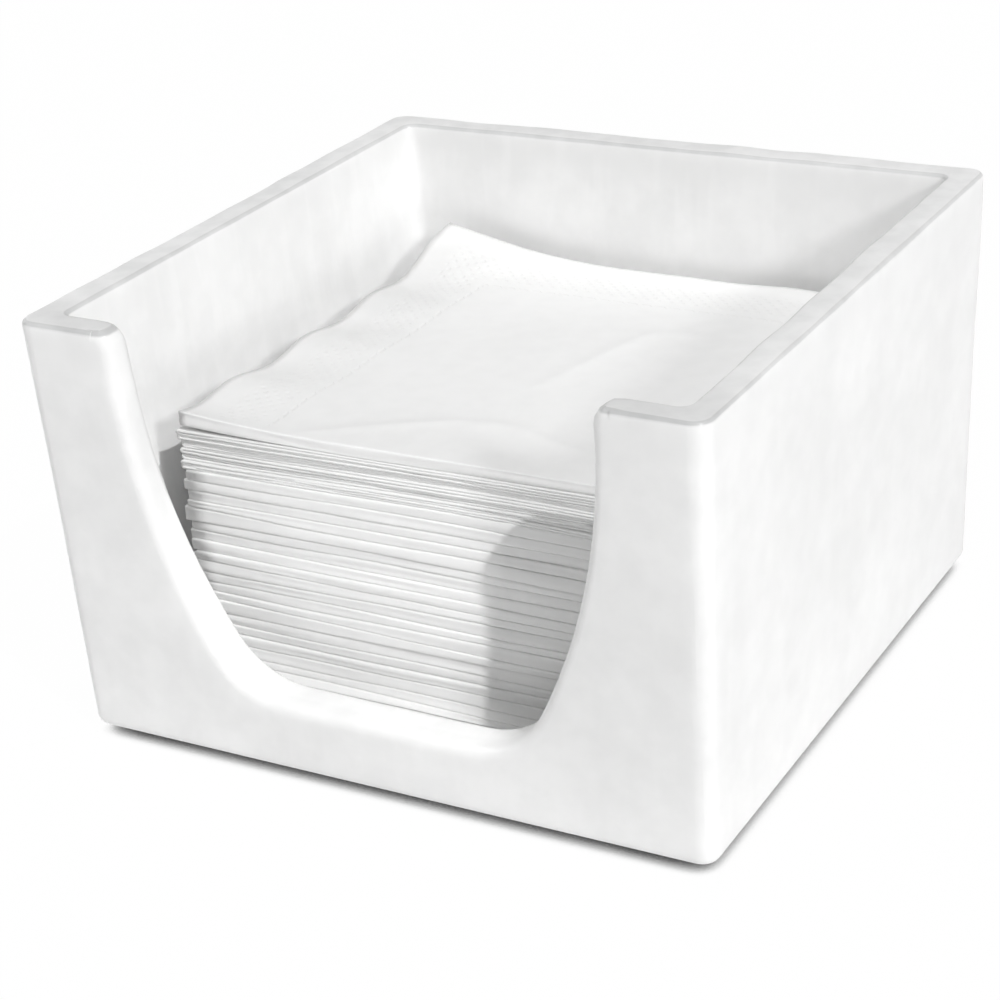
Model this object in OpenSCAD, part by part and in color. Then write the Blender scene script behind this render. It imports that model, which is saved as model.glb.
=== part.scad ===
// Napkin holder: an open square box, cast in one piece, with a deep scoop in its front wall.
// Four low pads keep it off the table, and a pile of folded paper napkins stands in its well.
// The front faces -Y, Z points up, and the origin is on the table under the middle of the box.

/* [Napkins] */
// Side of a napkin, folded twice into a square
napkin_side = 118; // [105:1:135]
// Number of napkins in the pile
napkin_count = 25; // [12:1:28]
// Thickness of one folded napkin along its folded edge
fold_t = 2.39; // [1.8:0.01:2.7]
// Thickness of one folded napkin along its open edge
open_t = 2.3; // [1.6:0.01:2.6]
// Air between one napkin and the next
napkin_gap = 0.15; // [0.1:0.05:0.3]
// How many napkins just under the top one lie with their open edges to the front
turned_count = 4; // [0:1:10]
// How far a napkin may slip sideways out of the pile
slip = 0.5; // [0:0.1:1.0]
// How far a napkin may turn out of line, in degrees
skew = 0.2; // [0:0.05:0.6]

/* [Box] */
// Room round the napkins at the floor of the well, both sides together
well_play = 10.8; // [8:0.2:20]
// Air left between the pile and the two walls that it is pushed up to, right and back
pile_gap = 1.4; // [0.2:0.1:1.5]
// Height of the box from its underside to its rim
box_h = 96; // [85:1:120]
// Thickness of the walls at the rim
wall_t = 7; // [6:0.5:10]
// Thickness of the floor under the napkins
floor_t = 9; // [6:0.5:12]
// Draft of the outside, so that the box widens upwards, in degrees
draft = 1.5; // [0.5:0.1:3]
// Draft of the well, which thickens the walls towards the floor, in degrees
well_draft = 4; // [3:0.1:6]
// Radius that softens the arrises of the scoop and of the underside
arris_r = 2.4; // [1:0.1:2.8]
// Radius that softens the arrises of the rim
rim_r = 1.2; // [0.6:0.1:2.8]
// Radius of the upright corners outside
corner_r = 4; // [3:0.5:9]
// Radius of the upright corners of the well
well_r = 2.5; // [2:0.5:7]

/* [Scoop] */
// Width of each front post at the rim
post_w = 23.5; // [18:0.5:30]
// Radius of the posts' top corners beside the scoop, on their faces
post_corner_r = 1; // [0.5:0.5:4]
// Height of the sill above the underside
sill_h = 16; // [13:0.5:24]
// How far each side of the scoop leans in from the rim to the end of the sill
scoop_lean = 32; // [26:1:40]
// Radius between the sill and the sides of the scoop
scoop_corner_r = 18; // [10:1:22]
// Length of upright side below the rim, above the bow
scoop_lip = 5; // [5:0.5:15]

/* [Foot pads] */
// Diameter of a pad
pad_d = 12; // [8:0.5:18]
// Height of a pad
pad_h = 2; // [0.8:0.1:3]
// Distance from the side of the underside to the middle of a pad
pad_inset = 16; // [12:0.5:25]
// Bevel round the bottom of a pad
pad_bevel = 0.5; // [0.1:0.1:0.6]

/* [Hidden] */
floor_z = pad_h + floor_t;
rim_z = pad_h + box_h;

// Half widths at a height z above the table, of the well and of the outside
function well_half(z) = (napkin_side + well_play) / 2 + (z - floor_z) * tan(well_draft);
function outer_half(z) = well_half(rim_z) + wall_t / cos(draft) - (rim_z - z) * tan(draft);

// A quarter round of radius r in round_steps flats: how far in from the face, how far from the edge
round_steps = 4;
function quarter(i, r) = let (a = 90 * i / round_steps) [r * (1 - cos(a)), r * (1 - sin(a))];
// A cut runs on past the face along its last flat, by cut_over
cut_over = 0.2;
function cut_grow(r) =
    let (last_flat = quarter(round_steps - 1, r)) r + cut_over * (r - last_flat[0]) / last_flat[1];

// The right half of the scoop in front view: a corner arc, a bowed side that ends upright, a round lip.
// The lip's arc runs out lip_rise above the rim, and the cut goes on to lip_over above it
scoop_half = outer_half(rim_z) - post_w;
sill_half = scoop_half - scoop_lean;
sill_z = pad_h + sill_h;
bow_z = rim_z - scoop_lip;
bow_rise = bow_z - sill_z - scoop_corner_r;
side_r = (pow(scoop_lean, 2) + pow(bow_rise, 2) - pow(scoop_corner_r, 2))
    / (2 * (scoop_lean - scoop_corner_r));
bow_angle = acos((side_r - scoop_lean) / (side_r - scoop_corner_r));
lip_r = post_corner_r + cut_grow(arris_r);
lip_rise = 0.4;
lip_over = 1;
corner_steps = 8;
side_steps = 12;
lip_steps = 4;

function arc(x, z, r, from, to, steps) =
    [for (i = [0:steps]) let (a = from + (to - from) * i / steps) [x + r * cos(a), z + r * sin(a)]];

// The outline may be grown evenly, which the rounding of its arrises needs
function scoop_right(grow) = concat(
    arc(sill_half, sill_z + scoop_corner_r, scoop_corner_r + grow, -90, -bow_angle, corner_steps),
    arc(scoop_half - side_r, bow_z, side_r + grow, -bow_angle * (1 - 1 / side_steps), 0, side_steps - 1),
    arc(scoop_half + lip_r, rim_z + lip_rise - lip_r, lip_r - grow, 180, 90, lip_steps),
    [[scoop_half + lip_r, rim_z + lip_over]]);

function mirrored(points) = [for (i = [len(points) - 1:-1:0]) [-points[i][0], points[i][1]]];

// A closed ring of the scoop's outline at a depth behind the front face, or short of the inner face
function scoop_outline(grow) = concat(scoop_right(grow), mirrored(scoop_right(grow)));
function front_ring(grow, depth) = [for (p = scoop_outline(grow)) [p[0], depth, p[1]]];
function inner_ring(grow, depth) =
    [for (p = scoop_outline(grow)) [p[0], wall_t + (rim_z - p[1]) * tan(well_draft - draft) - depth, p[1]]];

// A level ring round a square with round corners
ring_steps = 6;
function square_ring(half, r, z) =
    [for (c = [0:3], i = [0:ring_steps])
        let (a = 90 * (c + i / ring_steps), m = 90 * c + 45)
        [(half - r) * sign(cos(m)) + r * cos(a), (half - r) * sign(sin(m)) + r * sin(a), z]];

// The pile is pushed up to the right and back walls, as near as its square corners get to the round
// corner of the well, and leans back half as much as the wall does
pile_inset = well_r * (1 - sqrt(0.5)) + slip + napkin_side / 2 * sin(skew) + pile_gap;
pile_lean = well_draft / 2;
pile_middle = well_half(floor_z) - pile_inset - napkin_side / 2;

// Each napkin slips and turns a little, by the golden angle, each motion starting at its own phase
golden_angle = 137.5;
slip_phase = 40;
turn_phase = 80;
function level_of(k) = napkin_count - k;
function middle_z(k) = floor_z + (level_of(k) + 0.5) * (fold_t + open_t) / 2;
function slip_x(k) = slip * sin(golden_angle * k);
function slip_y(k) = slip * sin(golden_angle * k * 2 + slip_phase);
function turn_of(k) = skew * sin(golden_angle * k * 3 + turn_phase);
function napkin_x(k) = pile_middle + slip_x(k);
function napkin_y(k) = pile_middle + (middle_z(k) - floor_z) * tan(pile_lean) + slip_y(k);
function turned(k) = k > 1 && k <= 1 + turned_count;

// Height of the bottom of a level of the pile, at y from the middle of the napkins
function level_z(level, y) =
    floor_z + napkin_gap + level * (fold_t + (open_t - fold_t) * (y / napkin_side + 0.5));

function napkin_name(k) = str("napkin_", k < 10 ? "0" : "", k);
pad_sides = [["left", -1], ["right", 1]];
pad_ends = [["front", -1], ["back", 1]];
function pad_name(end, side) = str("foot_pad_", end[0], "_", side[0]);

// A closed solid through a list of rings that have the same number of points
module loft(rings) {
    n = len(rings[0]);
    last = (len(rings) - 1) * n;
    sides = [for (j = [0:len(rings) - 2], i = [0:n - 1])
        let (a = j * n + i, b = j * n + (i + 1) % n)
        each [[a, b + n, b], [a, a + n, b + n]]];
    caps = [[for (i = [0:n - 1]) i], [for (i = [n - 1:-1:0]) last + i]];
    polyhedron([for (ring = rings) each ring], concat(sides, caps));
}

// The drafted block that the box is cut from, its upper and lower arrises rounded
module block() {
    loft(concat(
        [for (i = [round_steps:-1:0])
            let (q = quarter(i, arris_r), z = pad_h + q[1])
            square_ring(outer_half(z) - q[0], corner_r - q[0], z)],
        [for (i = [0:round_steps])
            let (q = quarter(i, rim_r), z = rim_z - q[1])
            square_ring(outer_half(z) - q[0], corner_r - q[0], z)]));
}

// The inside of the box, which rounds the inner arris of the rim on its way out
module well() {
    top = rim_z + cut_over;
    loft(concat(
        [square_ring(well_half(floor_z), well_r, floor_z)],
        [for (i = [0:round_steps - 1])
            let (q = quarter(i, rim_r), z = rim_z - q[1])
            square_ring(well_half(z) + q[0], well_r + q[0], z)],
        [square_ring(well_half(top) + cut_grow(rim_r), well_r + cut_grow(rim_r), top)]));
}

// The scoop follows the draft of the front wall, and rounds both of its arrises
module scoop() {
    translate([0, -outer_half(rim_z), rim_z])
        rotate([draft, 0, 0])
            translate([0, 0, -rim_z])
                loft(concat(
                    [inner_ring(cut_grow(arris_r), -cut_over)],
                    [for (i = [round_steps - 1:-1:0])
                        let (q = quarter(i, arris_r))
                        inner_ring(q[0], q[1])],
                    [for (i = [0:round_steps - 1])
                        let (q = quarter(i, arris_r))
                        front_ring(q[0], q[1])],
                    [front_ring(cut_grow(arris_r), -cut_over)]));
}

// The casting
module holder_body() {
    color("whitesmoke")
        difference() {
            block();
            well();
            scoop();
        }
}

// A low self-stick disc, bevelled where it meets the table
module foot_pad(end, side) {
    place = outer_half(pad_h) - pad_inset;
    color("gainsboro")
        translate([side[1] * place, end[1] * place, 0])
            rotate_extrude($fn = 48)
                polygon([
                    [0, 0],
                    [pad_d / 2 - pad_bevel, 0],
                    [pad_d / 2, pad_bevel],
                    [pad_d / 2, pad_h],
                    [0, pad_h]]);
}

// A napkin from the side: round along its fold, just inside its thickness, and square along its open edge
fold_round = 0.96;
module napkin_profile(k) {
    level = level_of(k);
    r = fold_round * ((turned(k) ? open_t : fold_t) - napkin_gap) / 2;
    front = -napkin_side / 2 + (turned(k) ? 0 : r);
    back = napkin_side / 2 - (turned(k) ? r : 0);
    nose = turned(k) ? back : front;
    translate([nose, (level_z(level, nose) + level_z(level + 1, nose) - napkin_gap) / 2])
        circle(r, $fn = 24);
    polygon([
        [front, level_z(level, front)],
        [back, level_z(level, back)],
        [back, level_z(level + 1, back) - napkin_gap],
        [front, level_z(level + 1, front) - napkin_gap]]);
}

// One napkin of the pile, counted from the top
module napkin(k) {
    color("white")
        translate([napkin_x(k), napkin_y(k), 0])
            rotate([90, 0, 90 + turn_of(k)])
                linear_extrude(napkin_side, center = true)
                    napkin_profile(k);
}

holder_body();
for (end = pad_ends, side = pad_sides)
    foot_pad(end, side);
for (k = [1:napkin_count])
    napkin(k);
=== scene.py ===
# %% [markdown]
# # A cast napkin holder with its pile of napkins
# The holder is an open square box with a deep scoop in its front wall, cast in one piece of milky resin.
# Four low pads keep it off the table, and a pile of folded paper napkins stands in its well. The packed
# model gives every size and place. This lesson dresses it: the casting gets its hand-finished surface, and
# each plain napkin solid becomes a real sheet, folded twice.

# %% Open the frame
import math

import bmesh
import bpy
from mathutils import Matrix, Vector, geometry, noise


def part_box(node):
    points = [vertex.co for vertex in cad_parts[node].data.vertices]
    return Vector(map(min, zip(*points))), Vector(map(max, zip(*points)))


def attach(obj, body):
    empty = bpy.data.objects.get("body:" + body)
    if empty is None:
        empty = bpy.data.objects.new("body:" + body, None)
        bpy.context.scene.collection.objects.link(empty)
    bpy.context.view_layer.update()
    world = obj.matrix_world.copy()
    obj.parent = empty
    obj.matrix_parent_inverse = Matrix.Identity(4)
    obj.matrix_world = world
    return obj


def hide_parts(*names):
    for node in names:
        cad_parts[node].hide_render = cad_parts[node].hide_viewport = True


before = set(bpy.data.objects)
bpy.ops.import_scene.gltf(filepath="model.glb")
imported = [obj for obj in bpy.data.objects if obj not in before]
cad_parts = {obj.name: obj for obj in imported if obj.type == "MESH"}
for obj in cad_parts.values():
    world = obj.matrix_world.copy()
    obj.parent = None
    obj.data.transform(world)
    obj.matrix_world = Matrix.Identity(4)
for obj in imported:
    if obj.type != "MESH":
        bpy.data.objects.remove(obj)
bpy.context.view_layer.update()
scene = bpy.context.scene
scene.view_settings.view_transform = "Standard"
MM = 0.001

# %% [markdown]
# ## The camera
# The photograph looks down on the right front corner of the box from about half a metre. A camera is
# easiest to place by what a photographer would say: what it aims at, how far round the object it stands,
# how high, how much it is tilted and how far away it is. Three unit vectors, to the right, up and back, then
# make its matrix.

# %% Stand the camera
AIM = Vector((6.2, -28.8, 50.2)) * MM
CAMERA_TURN = math.radians(30.13)
CAMERA_RISE = math.radians(24.83)
CAMERA_TILT = math.radians(-3.94)
CAMERA_DISTANCE = 529 * MM
LENS_MM = 89.4
SENSOR_MM = 36


def direction(turn, rise):
    """The way from the object to something that stands that far round to the right and that high."""
    level = math.cos(rise)
    return Vector((math.sin(turn) * level, -math.cos(turn) * level, math.sin(rise)))


back = direction(CAMERA_TURN, CAMERA_RISE)
level_right = Vector((math.cos(CAMERA_TURN), math.sin(CAMERA_TURN), 0))
level_up = back.cross(level_right)
right = level_right * math.cos(CAMERA_TILT) + level_up * math.sin(CAMERA_TILT)
up = level_up * math.cos(CAMERA_TILT) - level_right * math.sin(CAMERA_TILT)

camera = bpy.data.objects.new("camera", bpy.data.cameras.new("camera"))
camera.data.lens = LENS_MM
camera.data.sensor_width = SENSOR_MM
facing = Matrix((right, up, back)).transposed().to_4x4()
camera.matrix_world = Matrix.Translation(AIM + back * CAMERA_DISTANCE) @ facing
scene.collection.objects.link(camera)
scene.camera = camera
print("camera at", [round(c, 3) for c in camera.matrix_world.translation])

# %% [markdown]
# ## Writing shader maths as sums
# A material is a web of nodes, and clicking it together hides what it works out. Here a wire stands for one
# socket, and the sum or product of two wires adds the Math node for it. Everything else comes from one
# method, which makes a node, sets its settings and then fills its sockets.

# %% Wires and finishes


class Wire:
    """One output socket of a finish. Sums, differences and products of wires add Math nodes."""

    def __init__(self, finish, socket):
        self.finish = finish
        self.socket = socket

    def __add__(self, other):
        return self.finish.maths("ADD", self, other)

    __radd__ = __add__

    def __sub__(self, other):
        return self.finish.maths("SUBTRACT", self, other)

    def __rsub__(self, other):
        return self.finish.maths("SUBTRACT", other, self)

    def __mul__(self, other):
        return self.finish.maths("MULTIPLY", self, other)

    __rmul__ = __mul__


class Finish:
    """The node tree of a material or of the world, built from empty."""

    def __init__(self, owner):
        self.owner = owner
        owner.use_nodes = True
        self.tree = owner.node_tree
        self.tree.nodes.clear()

    def node(self, kind, settings=None, inputs=None, output=0):
        """Adds a node, sets its settings, then its sockets, and returns the wire of one output."""
        made = self.tree.nodes.new(kind)
        for name, value in (settings or {}).items():
            setattr(made, name, value)
        for name, value in (inputs or {}).items():
            if isinstance(value, Wire):
                self.tree.links.new(value.socket, made.inputs[name])
            else:
                made.inputs[name].default_value = value
        return Wire(self, made.outputs[output]) if made.outputs else None

    def maths(self, operation, *values):
        """A Math node, also for what Python has no sign for."""
        return self.node("ShaderNodeMath", {"operation": operation}, dict(enumerate(values)))


MIX_A, MIX_B, MIX_COLOUR = 6, 7, 2


def blend_colours(finish, share, first, second):
    """A colour between two, where the share runs from 0 to 1."""
    inputs = {0: share, MIX_A: first, MIX_B: second}
    return finish.node("ShaderNodeMix", {"data_type": "RGBA"}, inputs, MIX_COLOUR)


def smooth_step(finish, value, start, end):
    """0 below start and 1 above end, with a smooth rise between them."""
    inputs = {"Value": value, "From Min": start, "From Max": end}
    return finish.node("ShaderNodeMapRange", {"interpolation_type": "SMOOTHSTEP"}, inputs)


def split(finish, vector):
    """The X, Y and Z of a vector."""
    return [finish.node("ShaderNodeSeparateXYZ", None, {"Vector": vector}, axis) for axis in "XYZ"]


def stretch(finish, vector, scale):
    """A place scaled by axis: a pattern on it is drawn out where the scale is small."""
    return finish.node("ShaderNodeMapping", None, {"Vector": vector, "Scale": scale})


def cloud(finish, vector, size, detail):
    """Soft noise, whose lumps are about that size."""
    return finish.node("ShaderNodeTexNoise", None, {"Vector": vector, "Scale": 1 / size, "Detail": detail})


def grey(level):
    return (level, level, level, 1)


print("shader words are ready")

# %% [markdown]
# ## The resin
# The box is cast from a milky resin and rubbed down by hand. It is white with faint clouds, and a little
# light goes into it. Upright strokes show where the walls were wiped. Inside the well the resin is painted
# paler, as painted light, and its strokes are stronger there, as painted reflections. The rim is painted
# greyer than the walls, as painted shade on its top, most of all on the two front posts, and its rounded
# arrises get darker painted shade still. Near the rim, and a short way down from it, the flecks are darker.
# A plain white gloss would look like plastic. So noise of two sizes makes the clouds, noise that is drawn out
# along Z makes the strokes, and the place and the slope of the surface say where the well, the rim, the posts
# and the arrises are. Each of them adds to one tone or takes from it, and the tone picks a colour between a
# deep and a pale one.

# %% Mix the resin
CLOUD_SIZE = 30 * MM
FLECK_SIZE = 6 * MM
CLOUD_EDGES = (0.3, 0.7)
STROKE_SIZE = 5 * MM
STROKE_DRAW = 0.16
STROKE_EDGES = (0.5, 0.7)
STROKE_DEPTH = 0.2 * MM
GRAIN_SIZE = 1.2 * MM
GRAIN_SHARE = 0.08
RIM_TOP = 1.2 * MM
RIM_SHADE = 11 * MM
ARRIS_SLOPES = (0.3, 0.55, 0.9, 0.985)
PLAIN_TONE = 0.77
CLOUD_TONE = 0.14
FLECK_TONE = 0.07
STROKE_TONE = 0.02
# Painted light: the inside of the well is paler. Painted reflection: its strokes are stronger
INSIDE_PAINTED_LIGHT_TONE = 0.05
INSIDE_PAINTED_REFLECTION_TONE = 0.035
NEAR_RIM_FLECK_TONE = 0.12
# Painted shade on the rim's top, on its rounded arrises and on the post tops. The rim's flecks are patchy
# tone
RIM_PAINTED_SHADE_TONE = 0.04
RIM_FLECK_TONE = 0.1
ARRIS_PAINTED_SHADE_TONE = 0.4
POST_PAINTED_SHADE_TONE = 0.26
RESIN_DEEP = (0.5, 0.503, 0.503, 1)
RESIN_PALE = (0.93, 0.93, 0.927, 1)
RESIN_GLOW_DEPTH = 3 * MM
RESIN_ROUGHNESS = 0.3
FLECK_ROUGHNESS = 0.12


def mix_resin(rim_height, well_half):
    finish = Finish(bpy.data.materials.new("milky_resin"))
    place = finish.node("ShaderNodeTexCoord", output="Object")
    x, y, z = split(finish, place)
    slope = split(finish, finish.node("ShaderNodeTexCoord", output="Normal"))[2]

    clouds = smooth_step(finish, cloud(finish, place, CLOUD_SIZE, detail=3), *CLOUD_EDGES)
    flecks = smooth_step(finish, cloud(finish, place, FLECK_SIZE, detail=4), *CLOUD_EDGES)
    drawn = cloud(finish, stretch(finish, place, (1, 1, STROKE_DRAW)), STROKE_SIZE, detail=2)
    strokes = smooth_step(finish, drawn, *STROKE_EDGES)
    outwards = finish.maths("MAXIMUM", finish.maths("ABSOLUTE", x), finish.maths("ABSOLUTE", y))
    inside = 1 - smooth_step(finish, outwards, well_half, well_half + RIM_TOP)

    down = rim_height - z
    near_rim = 1 - smooth_step(finish, down, 0, RIM_SHADE)
    on_rim = 1 - smooth_step(finish, down, RIM_TOP / 2, RIM_TOP)
    on_post = smooth_step(finish, 0 - y, well_half - RIM_SHADE, well_half)
    start, full, full_end, end = ARRIS_SLOPES
    arris = smooth_step(finish, slope, start, full) * (1 - smooth_step(finish, slope, full_end, end))
    tone = PLAIN_TONE + clouds * CLOUD_TONE + flecks * FLECK_TONE
    # Painted light and painted reflection: the inside of the well is paler and its strokes are stronger
    tone = tone + strokes * (STROKE_TONE + INSIDE_PAINTED_REFLECTION_TONE * inside) + INSIDE_PAINTED_LIGHT_TONE * inside
    tone = tone - near_rim * flecks * NEAR_RIM_FLECK_TONE
    # Painted shade: the rim's top is darker, and more so on its rounded arrises and on the post tops
    tone = tone - on_rim * (RIM_PAINTED_SHADE_TONE + RIM_FLECK_TONE * flecks + ARRIS_PAINTED_SHADE_TONE * arris + POST_PAINTED_SHADE_TONE * on_post)

    grain = cloud(finish, place, GRAIN_SIZE, detail=1)
    bump = finish.node(
        "ShaderNodeBump", None,
        {"Height": drawn + grain * GRAIN_SHARE, "Distance": STROKE_DEPTH, "Strength": 0.6}, "Normal")
    shader = finish.node("ShaderNodeBsdfPrincipled", None, {
        "Base Color": blend_colours(finish, tone, RESIN_DEEP, RESIN_PALE),
        "Roughness": RESIN_ROUGHNESS + flecks * FLECK_ROUGHNESS,
        "Normal": bump,
        "Specular IOR Level": 0.28,
        "Subsurface Weight": 0.2,
        "Subsurface Radius": (1, 1, 1),
        "Subsurface Scale": RESIN_GLOW_DEPTH,
        "Coat Weight": 0.1,
        "Coat Roughness": 0.12,
    })
    finish.node("ShaderNodeOutputMaterial", None, {"Surface": shader})
    return finish


holder_low, holder_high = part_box("holder_body")
# What lies further in from the side than the wall's thickness at the rim is the inside of the well
RIM_WIDTH = 7 * MM
resin = mix_resin(holder_high.z, holder_high.x - RIM_WIDTH)
print("finish:", resin.owner.name, "with", len(resin.tree.nodes), "nodes")

# %% [markdown]
# ## The casting
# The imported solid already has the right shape, so a new model would only lose its fit. What it lacks is the
# hand: real walls are a little wavy, and the rim most of all. A copy of the solid is welded, its flat faces
# are joined, and it is sliced every few millimetres so that there are vertices to move. Each vertex then
# moves along its normal by a fraction of a millimetre of noise. The underside stays flat, for the pads.

# %% Wave the casting
WELD = 1e-6
FLAT_ANGLE = math.radians(0.5)
SHARP_ANGLE = math.radians(50)
SLICE = 4 * MM
WALL_WAVE = 0.3 * MM
WALL_WAVE_SIZE = 34 * MM
RIM_WAVE = 0.32 * MM
RIM_WAVE_SIZE = 13 * MM
RIM_BAND = 9 * MM
STILL_BELOW = 6 * MM
STILL_FADE = 10 * MM


def ramp(value, start, end):
    """0 at start and 1 at end, held between them."""
    return min(1.0, max(0.0, (value - start) / (end - start)))


def slice_all(bm, low, high, step):
    """Cuts the mesh into cells by planes across each axis."""
    for axis in range(3):
        across = Vector([float(axis == other) for other in range(3)])
        count = int((high[axis] - low[axis]) / step)
        for cut in range(1, count):
            geom = bm.verts[:] + bm.edges[:] + bm.faces[:]
            place = across * (low[axis] + (high[axis] - low[axis]) * cut / count)
            bmesh.ops.bisect_plane(bm, geom=geom, dist=WELD, plane_co=place, plane_no=across)


def make_piece(name, bm, finish):
    """A finished mesh as an object at the origin, with its material."""
    mesh = bpy.data.meshes.new(name)
    bm.to_mesh(mesh)
    bm.free()
    piece = bpy.data.objects.new(name, mesh)
    scene.collection.objects.link(piece)
    mesh.materials.clear()
    mesh.materials.append(finish.owner)
    return piece


def cast_holder():
    bm = bmesh.new()
    bm.from_mesh(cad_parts["holder_body"].data)
    bmesh.ops.remove_doubles(bm, verts=bm.verts[:], dist=WELD)
    bmesh.ops.dissolve_limit(bm, angle_limit=FLAT_ANGLE, verts=bm.verts[:], edges=bm.edges[:])
    slice_all(bm, holder_low, holder_high, SLICE)
    bm.normal_update()
    for vertex in bm.verts:
        place = vertex.co
        wave = WALL_WAVE * noise.noise(place / WALL_WAVE_SIZE)
        near_rim = ramp(place.z, holder_high.z - RIM_BAND, holder_high.z)
        wave += RIM_WAVE * near_rim * noise.noise(place / RIM_WAVE_SIZE)
        wave *= ramp(place.z, STILL_BELOW, STILL_BELOW + STILL_FADE)
        vertex.co = place + vertex.normal * wave
    for edge in bm.edges:
        edge.smooth = edge.calc_face_angle(0) < SHARP_ANGLE
    for face in bm.faces:
        face.smooth = True
        face.material_index = 0
    return make_piece("casting", bm, resin)


casting = cast_holder()
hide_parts("holder_body")
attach(casting, "holder")
print("casting faces:", len(casting.data.polygons))

# %% [markdown]
# ## The pads
# Four soft clear discs are stuck under the corners. They hardly show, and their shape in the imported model
# is right, so they only need a rubber that is greyer and duller than the resin.

# %% Rub the pads down
DUST_SIZE = 0.8 * MM
RUBBER_DEEP = 0.5
RUBBER_PALE = 0.68
RUBBER_ROUGHNESS = 0.5
DUST_ROUGHNESS = 0.3


def mix_rubber():
    finish = Finish(bpy.data.materials.new("clear_rubber"))
    place = finish.node("ShaderNodeTexCoord", output="Object")
    dust = cloud(finish, place, DUST_SIZE, detail=2)
    colour = blend_colours(finish, dust, grey(RUBBER_DEEP), grey(RUBBER_PALE))
    inputs = {"Base Color": colour, "Roughness": RUBBER_ROUGHNESS + dust * DUST_ROUGHNESS}
    shader = finish.node("ShaderNodeBsdfPrincipled", None, inputs)
    finish.node("ShaderNodeOutputMaterial", None, {"Surface": shader})
    return finish


rubber = mix_rubber()
pads = [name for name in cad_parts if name.startswith("foot_pad")]
for name in pads:
    pad_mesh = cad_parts[name].data
    pad_mesh.materials.clear()
    pad_mesh.materials.append(rubber.owner)
print("pads:", pads)

# %% [markdown]
# ## The napkin paper
# Napkins are soft creped tissue. Their sheet has a border that is pressed with rows of small dots, between
# a plain margin and a dashed line. The pattern follows the sheet, not the room, so it reads the sheet's own
# UV map, where the middle of the sheet is 0.5 each way. The distance to the nearest edge of the sheet then
# says which part of the border a point is in. Close to a fold line, the folding has ironed the border flat.

# %% Press the paper
MARGIN = 7 * MM
DOTS_END = 18.5 * MM
DASH_LINE = 20.5 * MM
DASH_WIDTH = 1.2 * MM
DASH_PITCH = 3.6 * MM
DASH_EDGES = (0.12, 0.2)
DOT_PITCH = 2.2 * MM
DOT_EDGES = (0.12, 0.34)
FOLD_IRONED = 5 * MM
CREPE_SIZE = 0.7 * MM
CREPE_DRAW = 0.3
FIBRE_SIZE = 5 * MM
LAYER_SIZE = 2.6 * MM
LAYER_DRAW = 0.03
LAYER_EDGES = (0.3, 0.6)
EMBOSS_DEPTH = 0.11 * MM
CREPE_SHARE = 0.35
PAPER_TONE = 0.4
LAYER_TONE = 0.35
FIBRE_TONE = 0.4
PRESSED_TONE = 0.06
PAPER_DEEP = (0.79, 0.79, 0.786, 1)
PAPER_PALE = (0.945, 0.945, 0.941, 1)
PAPER_ROUGHNESS = 0.85
FIBRE_ROUGHNESS = 0.1


def mix_paper(sheet_side):
    finish = Finish(bpy.data.materials.new("creped_paper"))

    def repeat(along, pitch):
        """How far a point is from the middle of its step, from 0 to 0.5."""
        return finish.maths("ABSOLUTE", finish.maths("FRACT", along * (1 / pitch)) - 0.5)

    uv = finish.node("ShaderNodeUVMap", {"uv_map": "sheet"})
    centred = finish.node(
        "ShaderNodeMapping", None,
        {"Vector": uv, "Location": [-sheet_side / 2] * 2 + [0], "Scale": [sheet_side] * 2 + [1]})
    across, along, _ = split(finish, centred)
    from_middle = [finish.maths("ABSOLUTE", way) for way in (across, along)]
    from_edge = sheet_side / 2 - finish.maths("MAXIMUM", *from_middle)
    from_fold = finish.maths("MINIMUM", *from_middle)

    staggered = DOT_PITCH * math.sqrt(2)
    dot_x = repeat(across + along, staggered)
    dot_y = repeat(across - along, staggered)
    from_dot = finish.maths("SQRT", dot_x * dot_x + dot_y * dot_y)
    dots = 1 - smooth_step(finish, from_dot, *DOT_EDGES)
    in_field = smooth_step(finish, from_edge, MARGIN, MARGIN + DOT_PITCH / 2)
    in_field = in_field * (1 - smooth_step(finish, from_edge, DOTS_END - DOT_PITCH / 2, DOTS_END))
    off_line = finish.maths("ABSOLUTE", from_edge - DASH_LINE)
    on_line = 1 - smooth_step(finish, off_line, DASH_WIDTH / 4, DASH_WIDTH / 2)
    dashes = on_line * smooth_step(finish, repeat(across + along, DASH_PITCH), *DASH_EDGES)
    pressed = (dots * in_field + dashes) * smooth_step(finish, from_fold, FOLD_IRONED / 2, FOLD_IRONED)

    place = finish.node("ShaderNodeTexCoord", output="Object")
    layers = cloud(finish, stretch(finish, place, (LAYER_DRAW, LAYER_DRAW, 1)), LAYER_SIZE, detail=1)
    layers = smooth_step(finish, layers, *LAYER_EDGES)
    crepe = cloud(finish, stretch(finish, centred, (1, CREPE_DRAW, 1)), CREPE_SIZE, detail=3)
    fibres = cloud(finish, centred, FIBRE_SIZE, detail=4)
    tone = PAPER_TONE + layers * LAYER_TONE + fibres * FIBRE_TONE - pressed * PRESSED_TONE
    bump = finish.node(
        "ShaderNodeBump", None,
        {"Height": crepe * CREPE_SHARE - pressed, "Distance": EMBOSS_DEPTH, "Strength": 0.8}, "Normal")
    shader = finish.node("ShaderNodeBsdfPrincipled", None, {
        "Base Color": blend_colours(finish, tone, PAPER_DEEP, PAPER_PALE),
        "Roughness": PAPER_ROUGHNESS + fibres * FIBRE_ROUGHNESS,
        "Normal": bump,
        "Specular IOR Level": 0.2,
        "Sheen Weight": 0.1,
    })
    finish.node("ShaderNodeOutputMaterial", None, {"Surface": shader})
    return finish


napkin_names = sorted(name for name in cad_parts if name.startswith("napkin"))


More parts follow.
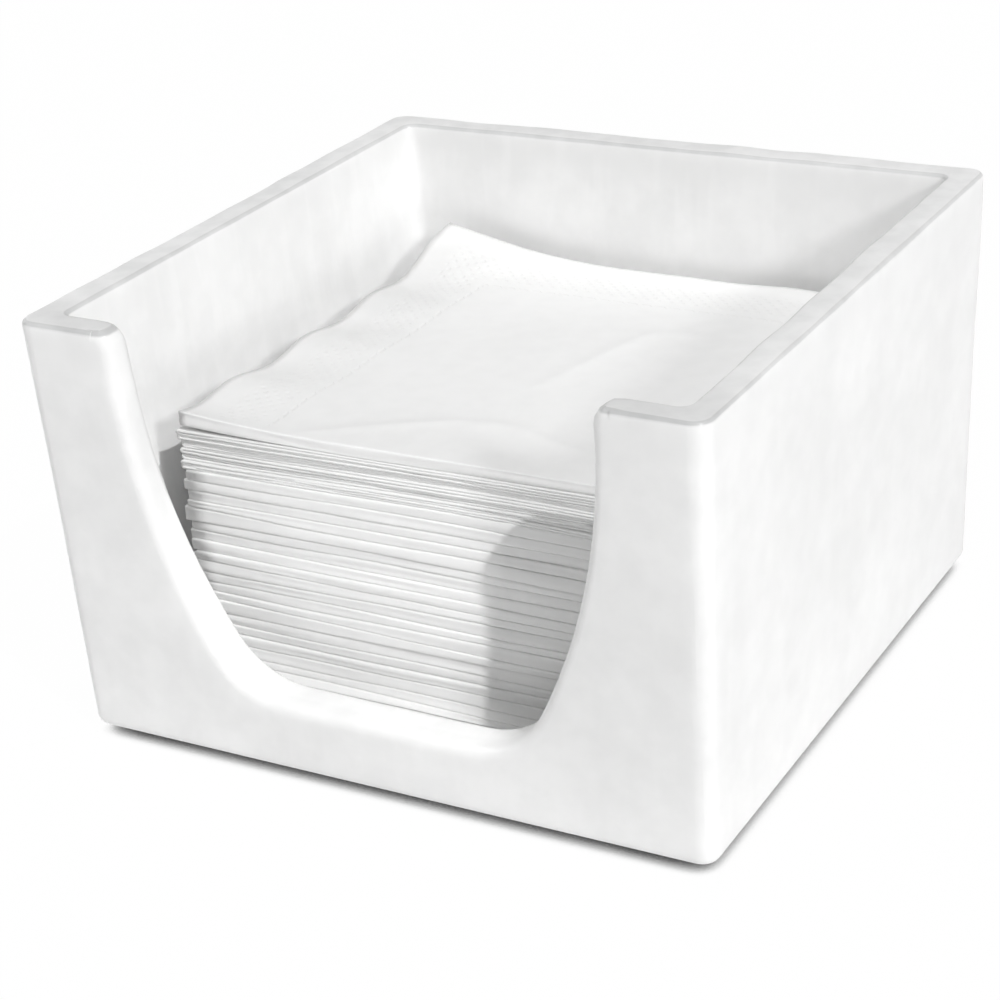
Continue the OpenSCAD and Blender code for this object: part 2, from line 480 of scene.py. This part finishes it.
def back_corners(name):
    """The two back corners of a napkin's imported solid, left and right."""
    places = [vertex.co.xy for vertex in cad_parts[name].data.vertices]
    return max(places, key=lambda at: at.y - at.x), max(places, key=lambda at: at.y + at.x)


corner_left, corner_right = back_corners(napkin_names[-1])
NAPKIN_SIDE = (corner_right - corner_left).length
SHEET_SIDE = 2 * NAPKIN_SIDE
paper = mix_paper(SHEET_SIDE)
print("finish:", paper.owner.name, "with", len(paper.tree.nodes), "nodes")
print("napkins:", len(napkin_names), "of sheets", round(SHEET_SIDE / MM, 1), "mm wide")

# %% [markdown]
# ## Where the napkins meet
# A pile of paper has no air to spare, so each napkin takes the shape of the one under it. The pile is
# therefore described by the surfaces between the napkins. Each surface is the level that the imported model
# gives, plus a little of its own: broad ripples, folds that are thicker or thinner at the front, and a sag
# along the free left side that grows towards the top. A napkin fills the space between two surfaces, so no
# napkin can cut into another.

# %% Surfaces of the pile
COUNT = len(napkin_names)
bottom_low, bottom_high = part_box(napkin_names[-1])
top_low, top_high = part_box(napkin_names[0])
PITCH_FRONT = (top_high.z - bottom_high.z) / (COUNT - 1)
PITCH_BACK = (top_low.z - bottom_low.z) / (COUNT - 1)
PILE_FOOT = bottom_low.z
RIPPLE = 0.16 * MM
RIPPLE_SIZE = 45 * MM
FRONT_WAVE = 0.85 * MM
FRONT_WAVE_SIZE = 60 * MM
FRONT_REACH = 14 * MM
SAG = 0.6 * MM
SAG_PLACE = -13 * MM
SAG_LENGTH = 32 * MM
SAG_REACH = 26 * MM
LEVEL_SEED = 7.3
FRONT_SEED = 0.37
# Noise is 0 at whole numbers, so a coordinate that stays fixed lies half-way between two
HALF_WAY = 0.5


def hill(distance, width):
    """1 at no distance, and smoothly down to nothing."""
    return math.exp(-(distance / width) ** 2)


def surface(level, x, y):
    """Height of the surface under a level of the pile, at a place on a napkin from its middle."""
    share = level / COUNT
    height = PILE_FOOT + level * (PITCH_FRONT + (PITCH_BACK - PITCH_FRONT) * (y / NAPKIN_SIDE + 0.5))
    seed = LEVEL_SEED * level
    ripple = RIPPLE * noise.noise((x / RIPPLE_SIZE, y / RIPPLE_SIZE, seed))
    front = hill(y + NAPKIN_SIDE / 2, FRONT_REACH)
    ripple += FRONT_WAVE * front * noise.noise((x / FRONT_WAVE_SIZE, HALF_WAY, seed + FRONT_SEED))
    sag = SAG * share * hill(y - SAG_PLACE, SAG_LENGTH) * hill(x + NAPKIN_SIDE / 2, SAG_REACH)
    return height + ripple * min(1, level) - sag


print("pitch in mm, front and back:", round(PITCH_FRONT / MM, 3), round(PITCH_BACK / MM, 3))

# %% [markdown]
# ## Folding a sheet
# A napkin is one square sheet that is folded twice, so it has four layers, one thick fold in front, two
# thin folds on its right, and open edges on the left and at the back. A stack of thin plates would miss the
# folds. Instead a flat grid, twice as wide as the napkin, is bent by a formula: near a fold line a point
# goes round a bend, and past it the layer runs straight on. The layer that is inside the first fold goes
# round a smaller bend in the second one. A pile presses its front folds: a roundness under 1 makes their
# bend squarer than a half circle, and their nose hardly stands out. The straight stretches are drawn out a
# little, so that the open edges end in line. Grid lines crowd towards the fold lines, where the bends need
# them. Open edges fluff up, so a napkin that shows them in front gets a thicker ply.

# %% Fold one sheet
PLY = 0.33 * MM
OPEN_PLY = 0.57 * MM
AIR = 0.05 * MM
CROWD = 0.03
NOSE = 0.1
QUARTER_TURN = math.pi / 2


def crowd(place, power):
    """Moves a grid line towards the nearest fold line."""
    share = abs(place) / NAPKIN_SIDE
    return math.copysign(NAPKIN_SIDE * (CROWD * share + (1 - CROWD) * share ** power), place)


def bend(along, radius):
    """How far round the fold a point is, and how far it then lies from the fold's outermost line."""
    turn = max(-QUARTER_TURN, min(QUARTER_TURN, along / radius))
    straight = abs(along) - radius * QUARTER_TURN
    return turn, radius * (1 - math.cos(turn)) + max(0, straight)


def fold_twice(u, v, half, roundness):
    """Where a point of the sheet lies: in from the right, back from the front, height from -1 to 1."""
    # Four layers lie at -1, -1/3, 1/3 and 1 of the half thickness, so the first fold's radius is a third
    turn, inward = bend(u, half / 3)
    radius = half * (2 - math.sin(turn)) / 3
    over, backward = bend(v, radius)
    rounding = half - radius + radius * (1 - math.cos(over))
    straight = backward - radius * (1 - math.cos(over))
    straight *= NAPKIN_SIDE / (NAPKIN_SIDE - radius * QUARTER_TURN)
    lift = math.copysign(abs(math.sin(over)) ** roundness, over)
    return inward, straight + NOSE * rounding, radius / half * lift


def open_sheet(lines, power, misfold):
    """A flat sheet with crowded grid lines and its UV map, moved off its fold lines a little."""
    bm = bmesh.new()
    uv_layer = bm.loops.layers.uv.new("sheet")
    bmesh.ops.create_grid(bm, x_segments=2 * lines, y_segments=2 * lines, size=NAPKIN_SIDE)
    for vertex in bm.verts:
        vertex.co.x = crowd(vertex.co.x, power)
        vertex.co.y = crowd(vertex.co.y, power)
    for face in bm.faces:
        face.smooth = True
        for loop in face.loops:
            loop[uv_layer].uv = (loop.vert.co.xy / SHEET_SIDE) + Vector((0.5, 0.5))
    bmesh.ops.translate(bm, verts=bm.verts[:], vec=misfold)
    return bm


flat = open_sheet(4, 1, Vector((0, 0, 0)))
print("a coarse sheet has", len(flat.faces), "cells")
flat.free()

# %% [markdown]
# ## The pile
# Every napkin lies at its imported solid, with that solid's small turn, but most of its slip from front to
# back is evened out, because the photograph's pile is straight in front. Four napkins under the top one lie
# the other way round, with their open edges to the front, which is why the photograph shows a ragged band
# there. Some layers there are a little longer than others and wave on their own. No two folds are pressed
# alike, so each napkin has its own roundness. The top napkin is the one that is seen, so it has a finer
# grid, a lifted back corner, a loose front corner and the soft creases of a sheet that was carried about.

# %% Lay the napkins
TURNED = range(2, 6)
FINE_LINES, FINE_POWER = 100, 1.6
PLAIN_LINES, PLAIN_POWER = 40, 2
SHIFT_SEED = 1.7
ROUNDNESS = 0.5
ROUNDNESS_SPREAD = 0.45
ROUNDNESS_SEEDS = (0.2, 0.9)
MISFOLD = 0.7 * MM
MISFOLD_SEEDS = (0.3, 0.6)
VECTOR_SEED = 1
EVENED = 0.7
JUT = 0.4 * MM
JUT_SEEDS = (0.8, 0.1)
EDGE_WAVE = 0.25 * MM
EDGE_WAVE_SIZE = 22 * MM
RAGGED = 0.2 * MM
RAGGED_SIZE = 9 * MM
RAGGED_STEP = 3
LOOSE_SPREAD = 0.2
CORNER_LIFT = 6.5 * MM
CORNER_REACH = Vector((50, 38)) * MM
FRONT_LIFT = 1.4 * MM
FRONT_LIFT_REACH = Vector((42, 30)) * MM
LEFT_WAVE = 1.8 * MM
LEFT_WAVE_LENGTH = 29.5 * MM
LEFT_WAVE_START = 20 * MM
LEFT_WAVE_REACH = 18 * MM
BACK_WAVE = 0.9 * MM
BACK_WAVE_SIZE = 16 * MM
BACK_WAVE_REACH = 16 * MM
CREASE_HEIGHT = 0.38 * MM
CREASE_WIDTH = 4.5 * MM
CREASES = (
    ((-25, -52), (-13, -44), (1, -36), (13, -34), (31, -41)),
    ((8, -12), (12, 9), (16, 25), (30, 30)),
)


def corner(reach, inward_x, inward_y):
    """1 in a corner, and down to nothing at its reach along both edges."""
    return max(0, 1 - inward_x / reach.x - inward_y / reach.y) ** 2


def crease(x, y):
    """Height of the creases of the top napkin, at a place in the frame."""
    height = 0
    point = Vector((x, y))
    for line in CREASES:
        ends = [Vector(end) * MM for end in line]
        gaps = []
        for start, end in zip(ends, ends[1:]):
            near, share = geometry.intersect_point_line(point, start, end)
            near = start if share < 0 else end if share > 1 else near
            gaps.append((point - near.to_2d()).length)
        height = max(height, max(0, 1 - min(gaps) / CREASE_WIDTH) ** 2)
    return height * CREASE_HEIGHT


def loosen_top(x, y):
    """How far the top napkin stands up from the pile, from its middle."""
    from_left = x + NAPKIN_SIDE / 2
    from_back = NAPKIN_SIDE / 2 - y
    from_front = y + NAPKIN_SIDE / 2
    lift = CORNER_LIFT * corner(CORNER_REACH, max(0, from_left), max(0, from_back))
    lift += FRONT_LIFT * corner(FRONT_LIFT_REACH, max(0, from_left), max(0, from_front))
    waves = 0.5 + 0.5 * math.cos(math.tau * (from_front - LEFT_WAVE_START) / LEFT_WAVE_LENGTH)
    lift += LEFT_WAVE * waves * hill(from_left, LEFT_WAVE_REACH)
    waves = 0.5 + 0.5 * noise.noise((x / BACK_WAVE_SIZE, HALF_WAY, HALF_WAY))
    return lift + BACK_WAVE * waves * hill(from_back, BACK_WAVE_REACH)


def lie_of(name):
    """Middle and turn of a napkin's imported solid, from its two back corners."""
    back_left, back_right = back_corners(name)
    low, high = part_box(name)
    return (low + high) / 2, math.atan2(back_right.y - back_left.y, back_right.x - back_left.x)


def straight_front(level):
    """Where the middle of a napkin would be, from front to back, in a pile without slips."""
    bottom, top = lie_of(napkin_names[-1])[0].y, lie_of(napkin_names[0])[0].y
    return bottom + (top - bottom) * level / (COUNT - 1)


def lay_napkin(number):
    name = napkin_names[number - 1]
    level = COUNT - number
    is_top = number == 1
    is_turned = number in TURNED
    middle, turn = lie_of(name)
    misfold = MISFOLD * noise.noise_vector((number * SHIFT_SEED, *MISFOLD_SEEDS))
    misfold.z = 0
    misfold.y *= 1 - EVENED
    middle.y += EVENED * (straight_front(level) - middle.y)
    jut = JUT * noise.noise((number * SHIFT_SEED, *JUT_SEEDS))
    lines, power = (FINE_LINES, FINE_POWER) if is_top else (PLAIN_LINES, PLAIN_POWER)
    bm = open_sheet(lines, power, misfold)
    ply = OPEN_PLY if is_turned else PLY
    half = (PITCH_FRONT - ply - AIR) / 2
    roundness = ROUNDNESS + ROUNDNESS_SPREAD * noise.noise((number * SHIFT_SEED, *ROUNDNESS_SEEDS))
    facing = -1 if is_turned else 1
    spin = Matrix.Rotation(turn, 2)
    for vertex in bm.verts:
        u, v = vertex.co.x, vertex.co.y
        inward, backward, share = fold_twice(u, v, half, roundness)
        x = facing * (NAPKIN_SIDE / 2 - inward)
        y = facing * (backward - NAPKIN_SIDE / 2)
        y += jut + EDGE_WAVE * noise.noise((x / EDGE_WAVE_SIZE, level * LEVEL_SEED, share))
        low = surface(level, x, y) + ply / 2
        high = surface(level + 1, x, y) - ply / 2 - AIR
        height = (low + high) / 2 + (high - low) / 2 * share
        if is_turned:
            ragged = noise.noise((x / RAGGED_SIZE, y / RAGGED_SIZE, level + RAGGED_STEP * share))
            height += RAGGED * ragged * (1 - share * share)
        place = spin @ Vector((x, y)) + middle.xy
        if is_top:
            spread = 1 - LOOSE_SPREAD + LOOSE_SPREAD * share
            height += loosen_top(x, y) * spread + crease(place.x, place.y) * max(0, share)
        vertex.co = (place.x, place.y, height)
    bm.normal_update()
    sheet = make_piece(f"sheet_{number:02d}", bm, paper)
    thicken = sheet.modifiers.new("ply", "SOLIDIFY")
    thicken.thickness = ply
    thicken.offset = 0
    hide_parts(name)
    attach(sheet, name)
    return sheet


# Blender takes its noise vectors from the clock, unless it is given a seed
noise.seed_set(VECTOR_SEED)
sheets = [lay_napkin(number) for number in range(1, COUNT + 1)]
print("sheets:", len(sheets), "cells of the top one:", len(sheets[0].data.polygons))

# %% [markdown]
# ## The table
# The photograph has a pure white ground with a thin dark line under the box. A floor that only reflects
# would need too much light on the object to look white. So to the camera, most of the floor's white shines
# by itself, and the rest is lit. Close to the object the shine is held back by how much of the room a point
# of the floor can see, which paints the shade under the box as a dark line. Other light bounces off the floor
# as off white paint.

# %% Lay the floor
FLOOR_HALF = 4.0
FLOOR_SHINE = 0.99
FLOOR_WHITE = 0.91
SHADE_REACH = 9 * MM
SHADE_EDGES = (0.1, 0.5)


def is_seen(finish):
    """1 for rays that show what is behind the object: to the eye, in a gloss or through glass."""
    kinds = ("Is Camera Ray", "Is Glossy Ray", "Is Transmission Ray")
    to_eye, in_gloss, through = [finish.node("ShaderNodeLightPath", output=kind) for kind in kinds]
    return finish.maths("MINIMUM", to_eye + in_gloss + through, 1.0)


def mix_floor():
    finish = Finish(bpy.data.materials.new("white_floor"))
    # Painted shade: near the object the floor's shine is darkened by how hidden that part of the floor is
    room = finish.node("ShaderNodeAmbientOcclusion", {"samples": 8}, {"Distance": SHADE_REACH}, "AO")
    level = smooth_step(finish, room, *SHADE_EDGES)
    shine = finish.node("ShaderNodeEmission", None, {"Color": grey(1), "Strength": level})
    lit = finish.node("ShaderNodeBsdfDiffuse", None, {"Color": grey(FLOOR_WHITE)})
    both = finish.node("ShaderNodeMixShader", None, {0: is_seen(finish) * FLOOR_SHINE, 1: lit, 2: shine})
    finish.node("ShaderNodeOutputMaterial", None, {"Surface": both})
    return finish


ground = bmesh.new()
bmesh.ops.create_grid(ground, x_segments=1, y_segments=1, size=FLOOR_HALF)
floor = make_piece("floor", ground, mix_floor())
print("floor is", 2 * FLOOR_HALF, "m wide")

# %% [markdown]
# ## The light
# The shadow of the right front post falls on the right end of the pile. The post, the pile and the corners
# of that shadow give the key lamp's direction: well round to the right, at about half a right angle. A lower
# and softer lamp on the same side lights the front and right walls without adding much to the paper on top.
# Four weaker lamps fill the shadows: a broad one overhead, a small one close to the front, and broad ones to
# the left and behind. All but the small one hang far off, so a napkin that is lifted high is lit like one in
# the pile. The world is white to the eye and in a gloss, and dark to all else.

# %% Hang the lamps
# Name, turn and rise in degrees, distance and size in metres, and the level that it lights white to
LAMPS = (
    ("key", 61, 46.9, 5, 0.1, 0.65),
    ("low_side", 60, 28, 5, 0.6, 0.31),
    ("overhead", 20, 85, 5, 3.6, 0.08),
    ("front_fill", -50, 16, 0.42, 0.2, 0.09),
    ("left_fill", -75, 40, 5, 2.1, 0.25),
    ("back_fill", -120, 14, 5, 2.1, 0.1),
)


def hang_lamp(name, turn, rise, distance, size, level):
    """A square lamp that lights a facing white surface to that level of white."""
    light = bpy.data.lights.new(name, "AREA")
    light.size = size
    light.energy = level * math.pi ** 2 * distance ** 2
    lamp = bpy.data.objects.new(name, light)
    way = direction(math.radians(turn), math.radians(rise))
    facing = way.to_track_quat("Z", "Y").to_matrix().to_4x4()
    lamp.matrix_world = Matrix.Translation(AIM + way * distance) @ facing
    lamp.visible_camera = False
    scene.collection.objects.link(lamp)


for lamp_facts in LAMPS:
    hang_lamp(*lamp_facts)

scene.world = bpy.data.worlds.new("white_room")
air = Finish(scene.world)
background = air.node("ShaderNodeBackground", None, {"Color": grey(1), "Strength": is_seen(air)})
air.node("ShaderNodeOutputWorld", None, {"Surface": background})
print("lamps:", [facts[0] for facts in LAMPS])

# %% [markdown]
# ## The last update
# The view layer is brought up to date.

# %% Update the view layer
bpy.context.view_layer.update()
